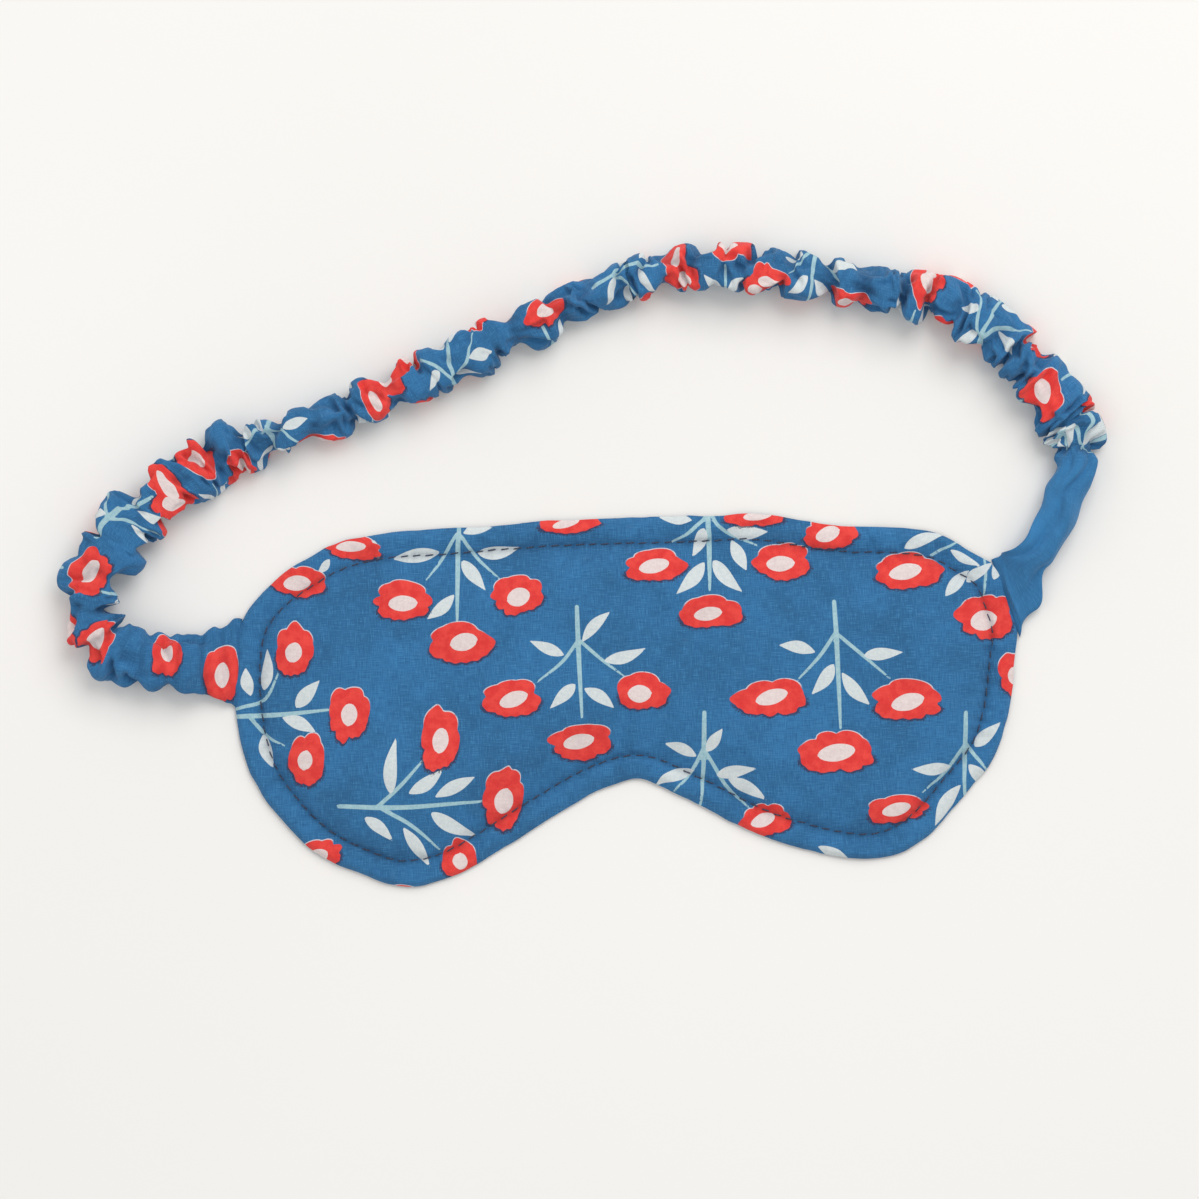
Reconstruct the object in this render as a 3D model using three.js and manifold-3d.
// Padded fabric sleep mask for both eyes, with an elastic head strap in a fabric casing.
// Millimetres, +Z up. Origin: at the nose, beside the fold line, on the face that rests
// on the table. +X runs along the mask towards the end whose strap leaves at the upper
// corner, +Y towards the forehead edge and the strap, +Z out of the printed front face.
// "Left" is the -X end and "right" the +X end.
import * as THREE from 'three';
import { mergeVertices } from 'three/addons/utils/BufferGeometryUtils.js';
import Module from 'manifold-3d';

const wasm = await Module();
wasm.setup();

// ---- mask dimensions ----
const SHEET = 0.6;            // front panel fabric
const BACK_TOP = 0.8;         // back panel, from the table up
const RIM_Z = 1.3;            // underside of the front panel's edge
const BAND_TOP = 2.6;         // flat band around the padded middle
const PAD_TOP = 5.5;          // padded middle
const EDGE_ROLL = 0.8;        // roll of the outer edge, in plan and in height
const PAD_SIDE = 2.7;         // plan width of the padded middle's sloping side
const PAD_OVERLAP = 0.5;      // depth the padded middle reaches into the band
const WADDING_GAP = 0.3;      // between the wadding and the panels below and above
const FOLD_X = 0.9;           // nose fold line
const FOLD_HALF_GAP = 0.4;    // from the fold line to each half

// ---- thread dimensions ----
const THREAD_W = 0.6;
const TOPSTITCH_LIFT = 0.15;  // underside of the topstitch above the band
const TOPSTITCH_H = 0.5;
const BOBBIN_BOTTOM = 0.05;
const BOBBIN_TOP = 0.3;
const GROOVE_EXTRA_W = 0.7;   // back panel groove, wider than the thread by this
const GROOVE_TOP = 0.45;
const CLOSING_W = 0.4;
const CLOSING_GAP = 0.1;      // closing thread to the back panel and to the rim
const TACK_BOTTOM = 1.15;
const TACK_TOP = 1.6;

// ---- strap dimensions ----
const CASING_W = 13.0;        // in plan
const CASING_H = 10.4;
const CASING_WALL = 0.8;
const CORNER_SHARE = 0.55;    // flat part of each side of the casing's octagonal section
const ELASTIC_W = 7.0;
const ELASTIC_T = 1.4;
const TAB_H = 6.0;            // flat end of the casing
const STRAP_Z = BAND_TOP + TAB_H / 2; // centre height; the tabs' underside is level with the band
const STRAP_STEPS = 46;

// Cuts between strap lengths, measured along and across the line through the strap's ends.
const SPLIT = 0.5;            // gap between neighbouring lengths
const LEFT_TAB_END = 12.5;    // along, outwards from the left strap end
const RIGHT_TAB_END = 9.0;    // across
const RIGHT_ARM_START = 10.2; // across
const ARM_END = 45.0;         // across, where both arms meet the crown

// Cutting blocks reach this far past every piece.
const FAR = 400;
const FAR_Z = 100;

// ---- plan lines, [x, y] ----
// Outer edge of the mask, clockwise from the right end.
const OUTLINE = [
  [100.1,10.6], [98.6,1.9], [97.2,-7.0], [95.6,-13.0], [93.5,-18.0], [90.5,-22.5],
  [86.0,-27.2], [80.8,-33.0], [74.4,-39.4], [66.7,-44.0], [57.7,-45.4], [49.0,-43.9],
  [40.6,-41.4], [32.0,-38.4], [23.9,-34.4], [16.3,-29.8], [10.5,-27.0], [5.4,-24.2],
  [1.5,-22.0], [-2.8,-21.4], [-11.3,-23.9], [-19.5,-27.9], [-27.5,-32.3], [-35.4,-36.8],
  [-43.3,-41.3], [-50.3,-44.8], [-57.3,-46.6], [-66.3,-46.9], [-74.7,-43.5], [-82.8,-39.4],
  [-89.9,-33.9], [-95.8,-26.9], [-100.9,-19.4], [-104.0,-11.0], [-105.3,-2.4], [-105.8,5.1],
  [-105.5,13.0], [-104.3,21.7], [-99.9,29.5], [-93.0,35.4], [-85.4,39.9], [-78.4,43.5],
  [-71.2,45.1], [-62.8,46.2], [-53.7,46.2], [-44.8,46.4], [-37.9,46.8], [-29.7,47.0],
  [-20.6,47.3], [-11.5,47.2], [-2.3,47.1], [6.8,46.9], [14.8,46.8], [22.1,46.8],
  [30.8,47.0], [39.7,45.5], [48.6,43.6], [57.6,42.1], [66.7,41.9], [75.6,40.6],
  [81.6,39.6], [85.7,37.0], [90.0,33.4], [95.1,31.1], [97.6,24.0], [99.7,17.0],
  [100.9,13.0],
];
// The lines inside the edge all run counter-clockwise from the lower left.
// Just inside the edge: start of the edge roll, and the closing thread.
const EDGE_LINE = [
  [-66.2,-45.8], [-58.1,-45.8], [-50.2,-43.8], [-42.9,-40.2], [-35.8,-36.2], [-28.7,-32.1],
  [-21.5,-28.2], [-14.1,-24.5], [-6.5,-21.7], [1.4,-21.5], [8.6,-25.1], [16.0,-28.9],
  [23.0,-33.0], [30.3,-36.8], [38.0,-39.7], [45.7,-42.2], [53.6,-44.0], [61.6,-44.1],
  [69.2,-41.6], [75.9,-37.0], [81.6,-31.1], [87.1,-25.0], [92.1,-18.6], [95.3,-11.1],
  [97.1,-3.2], [98.4,4.8], [99.6,12.7], [97.9,20.5], [95.3,28.2], [89.4,33.2],
  [82.8,37.9], [75.1,39.9], [67.1,41.0], [58.9,41.5], [50.9,42.5], [42.9,44.1],
  [35.0,45.6], [26.8,46.2], [18.6,46.2], [10.3,46.2], [2.1,46.3], [-6.1,46.4],
  [-14.4,46.5], [-22.5,46.5], [-30.7,46.3], [-39.0,46.0], [-47.1,45.7], [-55.3,45.5],
  [-63.6,45.3], [-71.6,44.2], [-79.4,42.1], [-86.7,38.3], [-93.5,33.9], [-99.5,28.4],
  [-103.3,21.3], [-104.7,13.4], [-105.0,5.2], [-104.5,-2.9], [-103.1,-10.9], [-100.3,-18.5],
  [-95.9,-25.4], [-90.8,-31.7], [-84.7,-37.0], [-77.6,-41.2],
];
// Outer limit of the hollow under the front panel's band.
const HOLLOW_LINE = [
  [-65.9,-45.1], [-57.4,-44.9], [-49.2,-42.5], [-41.6,-38.5], [-34.1,-34.3], [-26.6,-30.0],
  [-19.0,-26.0], [-11.1,-22.3], [-2.9,-20.2], [5.2,-22.3], [12.8,-26.4], [20.4,-30.5],
  [27.9,-34.7], [35.8,-38.1], [44.0,-40.8], [52.3,-42.9], [60.8,-43.4], [68.8,-40.9],
  [75.8,-35.9], [81.7,-29.7], [87.6,-23.3], [92.4,-16.3], [95.3,-8.2], [96.8,0.2],
  [98.2,8.7], [98.1,17.0], [95.5,25.2], [90.5,31.5], [83.6,36.5], [75.6,39.0],
  [67.1,40.2], [58.5,40.7], [50.0,41.8], [41.6,43.5], [33.2,45.0], [24.6,45.4],
  [15.9,45.4], [7.2,45.4], [-1.4,45.6], [-10.1,45.7], [-18.7,45.8], [-27.3,45.6],
  [-35.9,45.4], [-44.5,44.9], [-53.1,44.7], [-61.8,44.6], [-70.3,43.6], [-78.6,41.5],
  [-86.3,37.6], [-93.5,32.9], [-99.5,26.9], [-103.0,19.2], [-104.1,10.8], [-104.1,2.2],
  [-103.2,-6.3], [-101.0,-14.6], [-97.1,-22.2], [-92.0,-29.1], [-85.9,-35.1], [-78.7,-39.7],
];
// Topstitch, about 6.6 inside the edge.
const STITCH_LINE = [
  [-65.2,-40.0], [-57.3,-39.7], [-49.6,-37.2], [-42.6,-33.3], [-35.5,-29.3], [-28.5,-25.4],
  [-21.4,-21.6], [-14.1,-18.0], [-6.4,-15.6], [1.6,-15.4], [8.9,-18.6], [16.0,-22.4],
  [23.1,-26.3], [30.2,-30.2], [37.6,-33.4], [45.3,-35.9], [53.1,-37.9], [61.1,-38.2],
  [68.4,-35.3], [74.5,-30.1], [80.0,-24.1], [85.4,-18.1], [89.2,-11.1], [91.1,-3.2],
  [92.4,4.7], [93.6,12.7], [91.8,20.4], [88.0,27.1], [81.5,31.7], [74.0,34.2],
  [66.0,35.3], [57.9,35.7], [49.9,36.7], [42.0,38.3], [34.1,39.8], [26.0,40.4],
  [17.9,40.4], [9.8,40.4], [1.8,40.5], [-6.3,40.6], [-14.4,40.7], [-22.5,40.7],
  [-30.5,40.4], [-38.6,40.2], [-46.7,39.9], [-54.8,39.7], [-62.8,39.5], [-70.8,38.4],
  [-78.5,36.1], [-85.6,32.2], [-92.1,27.5], [-97.0,21.2], [-98.8,13.5], [-99.2,5.4],
  [-98.6,-2.6], [-97.1,-10.6], [-93.9,-17.9], [-89.2,-24.5], [-83.7,-30.4], [-77.1,-34.9],
];
// Top edge of the padded middle, and the side of the wadding.
const PAD_LINE = [
  [-64.7,-36.0], [-56.1,-35.4], [-48.0,-31.9], [-40.3,-27.6], [-32.7,-23.2], [-24.9,-19.0],
  [-17.0,-15.0], [-8.6,-12.2], [0.0,-11.3], [8.3,-13.8], [16.1,-18.1], [23.9,-22.2],
  [31.6,-26.6], [39.7,-30.0], [48.1,-32.7], [56.7,-34.5], [65.1,-32.7], [71.9,-27.2],
  [77.9,-20.6], [83.5,-13.9], [86.7,-5.7], [88.2,3.0], [89.6,11.7], [87.8,20.1],
  [82.2,26.3], [74.5,30.1], [65.7,31.4], [56.9,31.8], [48.2,33.1], [39.5,34.8],
  [30.8,36.3], [22.0,36.5], [13.2,36.5], [4.3,36.5], [-4.5,36.7], [-13.3,36.8],
  [-22.2,36.8], [-31.0,36.5], [-39.8,36.2], [-48.6,35.9], [-57.4,35.7], [-66.2,35.2],
  [-74.8,33.4], [-82.7,29.3], [-89.9,24.3], [-94.3,16.9], [-95.2,8.2], [-94.9,-0.6],
  [-93.4,-9.3], [-89.7,-17.3], [-84.3,-24.3], [-77.7,-30.0],
];
// Strap centre line, from the left end round the back of the head to the right end.
const STRAP_LINE = [
  [-105.5,13.5], [-114.0,13.7], [-123.6,14.1], [-133.1,15.8], [-140.5,21.7], [-143.4,30.7],
  [-140.7,39.8], [-134.8,47.4], [-128.2,54.4], [-121.1,60.8], [-113.2,66.2], [-104.2,69.7],
  [-94.7,71.0], [-85.6,74.0], [-76.6,77.3], [-67.8,81.2], [-59.0,85.0], [-49.9,88.1],
  [-40.8,91.4], [-31.8,94.8], [-22.7,97.9], [-13.8,101.6], [-5.1,105.5], [4.0,108.7],
  [13.5,110.1], [23.0,111.4], [32.6,111.1], [42.2,110.2], [51.8,109.2], [61.1,107.0],
  [69.8,103.0], [79.3,101.1], [87.7,96.5], [95.3,90.7], [101.9,83.7], [107.6,76.0],
  [112.6,67.8], [115.5,58.6], [114.0,49.3], [109.2,41.0], [104.2,32.8], [98.0,22.0],
];
// Flat ends of the strap: casing, the hollow in it, and the elastic.
const LEFT_TAB = {
  casing: [[-107.0,5.0], [-106.8,13.5], [-105.9,22.0], [-124.0,21.0], [-124.0,7.0]],
  hollow: [[-100,7.0], [-100,20.2], [-130,19.2], [-130,8.8]],
  elastic: [[-107.6,10], [-107.6,17], [-125,17.4], [-125,10.4]],
};
const RIGHT_TAB = {
  casing: [
    [102.4,13.4], [106.0,20.0], [112.4,36.0], [98.2,36.0], [96.8,31.4], [99.0,24.5],
    [101.2,17.5],
  ],
  hollow: [[97.0,12.0], [103.0,16.0], [114.2,45.0], [101.4,45.0], [97.3,28.0]],
  elastic: [[101.8,19.5], [103.6,20.5], [108.0,32.0], [101.5,32.0], [100.0,26.0]],
};
// Bar tacks near the strap's ends.
const LEFT_TACK = [[-103.3,5.5], [-102.8,17.5], [-102.0,17.5], [-102.5,5.5]];
const RIGHT_TACK = [[96.3,15.8], [93.9,24.4], [94.6,24.6], [97.0,16.0]];

// ---- solid helpers ----
const vectors = (points) => points.map(([x, y]) => new THREE.Vector2(x, y));

function solid(geometry) {
  // Normals and uvs would keep shared corners from merging.
  geometry.deleteAttribute('normal');
  geometry.deleteAttribute('uv');
  const merged = mergeVertices(geometry, 1e-4);
  return new wasm.Manifold(new wasm.Mesh({
    numProp: 3,
    vertProperties: new Float32Array(merged.attributes.position.array),
    triVerts: new Uint32Array(merged.index.array),
  }));
}

function extruded(shape, bottom, options) {
  const geometry = new THREE.ExtrudeGeometry(shape, { bevelEnabled: false, ...options });
  geometry.translate(0, 0, bottom);
  return solid(geometry);
}

// Straight-sided slab over a plan.
function slab(plan, bottom, top) {
  return extruded(new THREE.Shape(vectors(plan)), bottom, { depth: top - bottom });
}

// Axis-aligned block; a range left out reaches past every piece.
function block({ x = [-FAR, FAR], y = [-FAR, FAR], z = [-FAR_Z, FAR_Z] }) {
  const ranges = [x, y, z];
  const geometry = new THREE.BoxGeometry(...ranges.map(([low, high]) => high - low));
  geometry.translate(...ranges.map(([low, high]) => (low + high) / 2));
  return solid(geometry);
}

// Slab with a rounded upper edge: down from the top, the plan grows by roll within rise.
function domed(plan, { bottom, top, roll, rise, segments }) {
  const bevelled = extruded(new THREE.Shape(vectors(plan)), bottom, {
    depth: top - rise - bottom,
    bevelEnabled: true,
    bevelSize: roll,
    bevelThickness: rise,
    bevelSegments: segments,
  });
  // Remove the matching bevel below the bottom.
  return bevelled.intersect(block({ z: [bottom, FAR_Z] }));
}

// Ring of rectangular section along a closed counter-clockwise line.
function ring(line, width, bottom, top) {
  const count = line.length;
  const offset = (distance) => line.map(([x, y], i) => {
    const before = line[(i + count - 1) % count];
    const after = line[(i + 1) % count];
    const dx = after[0] - before[0];
    const dy = after[1] - before[1];
    const length = Math.hypot(dx, dy);
    return new THREE.Vector2(x + distance * dy / length, y - distance * dx / length);
  });
  const shape = new THREE.Shape(offset(width / 2));
  shape.holes.push(new THREE.Path(offset(-width / 2)));
  return extruded(shape, bottom, { depth: top - bottom });
}

// ---- mask ----
function frontPanel() {
  // The hollow's padded middle is the outer one, lowered and narrowed by the sheet.
  const padDome = (inset) => domed(PAD_LINE, {
    bottom: BAND_TOP - inset - PAD_OVERLAP,
    top: PAD_TOP - inset,
    roll: PAD_SIDE - inset,
    rise: PAD_TOP - BAND_TOP,
    segments: 3,
  });
  const band = domed(EDGE_LINE, {
    bottom: RIM_Z, top: BAND_TOP, roll: EDGE_ROLL, rise: EDGE_ROLL, segments: 2,
  });
  const hollow = slab(HOLLOW_LINE, 0, BAND_TOP - SHEET).add(padDome(SHEET));
  return band.add(padDome(0)).subtract(hollow);
}

function backPanel() {
  // The groove is open to the table side.
  const groove = ring(STITCH_LINE, THREAD_W + GROOVE_EXTRA_W, -1, GROOVE_TOP);
  return slab(OUTLINE, 0, BACK_TOP).subtract(groove);
}

function wadding() {
  return slab(PAD_LINE, BACK_TOP + WADDING_GAP, PAD_TOP - SHEET - WADDING_GAP);
}

function topstitch() {
  const bottom = BAND_TOP + TOPSTITCH_LIFT;
  return ring(STITCH_LINE, THREAD_W, bottom, bottom + TOPSTITCH_H);
}

function bobbinThread() {
  return ring(STITCH_LINE, THREAD_W, BOBBIN_BOTTOM, BOBBIN_TOP);
}

function closingThread() {
  return ring(EDGE_LINE, CLOSING_W, BACK_TOP + CLOSING_GAP, RIM_Z - CLOSING_GAP);
}

const barTack = (plan) => slab(plan, TACK_BOTTOM, TACK_TOP);

// ---- strap ----
const strapCurve = new THREE.CatmullRomCurve3(
  STRAP_LINE.map(([x, y]) => new THREE.Vector3(x, y, STRAP_Z)), false, 'centripetal');

function alongStrap(section) {
  return extruded(section, 0, { steps: STRAP_STEPS, extrudePath: strapCurve });
}

// In strap sections, the first coordinate is the height and the second the plan width.
function octagon(width, height) {
  const h = height / 2;
  const w = width / 2;
  const flatH = h * CORNER_SHARE;
  const flatW = w * CORNER_SHARE;
  return vectors([
    [h, -flatW], [h, flatW], [flatH, w], [-flatH, w],
    [-h, flatW], [-h, -flatW], [-flatH, -w], [flatH, -w],
  ]);
}

function casingTube() {
  const section = new THREE.Shape(octagon(CASING_W, CASING_H));
  const bore = octagon(CASING_W - 2 * CASING_WALL, CASING_H - 2 * CASING_WALL);
  section.holes.push(new THREE.Path(bore.reverse()));
  return alongStrap(section);
}

function elasticBand() {
  const h = ELASTIC_T / 2;
  const w = ELASTIC_W / 2;
  return alongStrap(new THREE.Shape(vectors([[h, -w], [h, w], [-h, w], [-h, -w]])));
}

// Slab centred on the strap's height.
const strapSlab = (plan, height) => slab(plan, STRAP_Z - height / 2, STRAP_Z + height / 2);

function casingTab(tab, zone) {
  const hollow = strapSlab(tab.hollow, TAB_H - 2 * CASING_WALL);
  return strapSlab(tab.casing, TAB_H).subtract(hollow).intersect(zone);
}

const elasticTab = (tab, zone) => strapSlab(tab.elastic, ELASTIC_T).intersect(zone);

// ---- cutting zones ----
const leftOf = (x) => block({ x: [-FAR, x] });
const rightOf = (x) => block({ x: [x, FAR] });

const [leftX, leftY] = STRAP_LINE[0];
const [rightX, rightY] = STRAP_LINE.at(-1);
const endSpan = Math.hypot(rightX - leftX, rightY - leftY);
const tiltDegrees = THREE.MathUtils.radToDeg(Math.atan2(rightY - leftY, rightX - leftX));

// Block measured from the left strap end, along and across the line to the right one.
function tilted({ along, across }) {
  return block({ x: along, y: across })
    .rotate([0, 0, tiltDegrees])
    .translate([leftX, leftY, 0]);
}

const maskHalves = [leftOf(FOLD_X - FOLD_HALF_GAP), rightOf(FOLD_X + FOLD_HALF_GAP)];
const leftTabZone = tilted({ along: [-LEFT_TAB_END, FAR] });
const rightTabZone = tilted({ across: [-FAR, RIGHT_TAB_END] });
const armZones = [
  tilted({ along: [-FAR, -LEFT_TAB_END - SPLIT], across: [-FAR, ARM_END] }),
  tilted({ along: [endSpan / 2, FAR], across: [RIGHT_ARM_START, ARM_END] }),
];
const crown = tilted({ across: [ARM_END + SPLIT, FAR] });
const crownZones = [
  crown.intersect(leftOf(-SPLIT / 2)),
  crown.intersect(rightOf(SPLIT / 2)),
];

// ---- materials ----
const cloth = (color, roughness) =>
  new THREE.MeshStandardMaterial({ color, roughness, metalness: 0 });
const BLUE = cloth(0x346d9b, 0.88);
const LINING = cloth(0x2f628f, 0.9);
const WADDING = cloth(0xf1efe9, 0.97);
const THREAD = cloth(0x1e2742, 0.7);
const ELASTIC = cloth(0xf2f1ec, 0.8);

// ---- assembly ----
const group = new THREE.Group();

function geometryOf(piece) {
  const { vertProperties, triVerts } = piece.getMesh();
  const geometry = new THREE.BufferGeometry();
  geometry.setAttribute(
    'position', new THREE.BufferAttribute(new Float32Array(vertProperties), 3));
  geometry.setIndex(new THREE.BufferAttribute(new Uint32Array(triVerts), 1));
  geometry.computeVertexNormals();
  return geometry;
}

function addPair(name, [left, right], material) {
  for (const [side, piece] of [['left', left], ['right', right]]) {
    const mesh = new THREE.Mesh(geometryOf(piece), material);
    mesh.name = `${name}_${side}`;
    group.add(mesh);
  }
}

// Adds the parts of one solid that lie in the left and right zones.
function addCut(name, whole, zones, material) {
  addPair(name, zones.map((zone) => whole.intersect(zone)), material);
}

addCut('front_panel', frontPanel(), maskHalves, BLUE);
addCut('back_panel', backPanel(), maskHalves, LINING);
addCut('wadding', wadding(), maskHalves, WADDING);
addCut('topstitch_thread', topstitch(), maskHalves, THREAD);
addCut('bobbin_thread', bobbinThread(), maskHalves, THREAD);
addCut('closing_thread', closingThread(), maskHalves, THREAD);
addPair('bar_tack', [barTack(LEFT_TACK), barTack(RIGHT_TACK)], THREAD);

addPair('casing_tab',
  [casingTab(LEFT_TAB, leftTabZone), casingTab(RIGHT_TAB, rightTabZone)], BLUE);
addPair('elastic_tab',
  [elasticTab(LEFT_TAB, leftTabZone), elasticTab(RIGHT_TAB, rightTabZone)], ELASTIC);

const casing = casingTube();
const elastic = elasticBand();
for (const [part, zones] of [['arm', armZones], ['crown', crownZones]]) {
  addCut(`casing_${part}`, casing, zones, BLUE);
  addCut(`elastic_${part}`, elastic, zones, ELASTIC);
}

export default group;
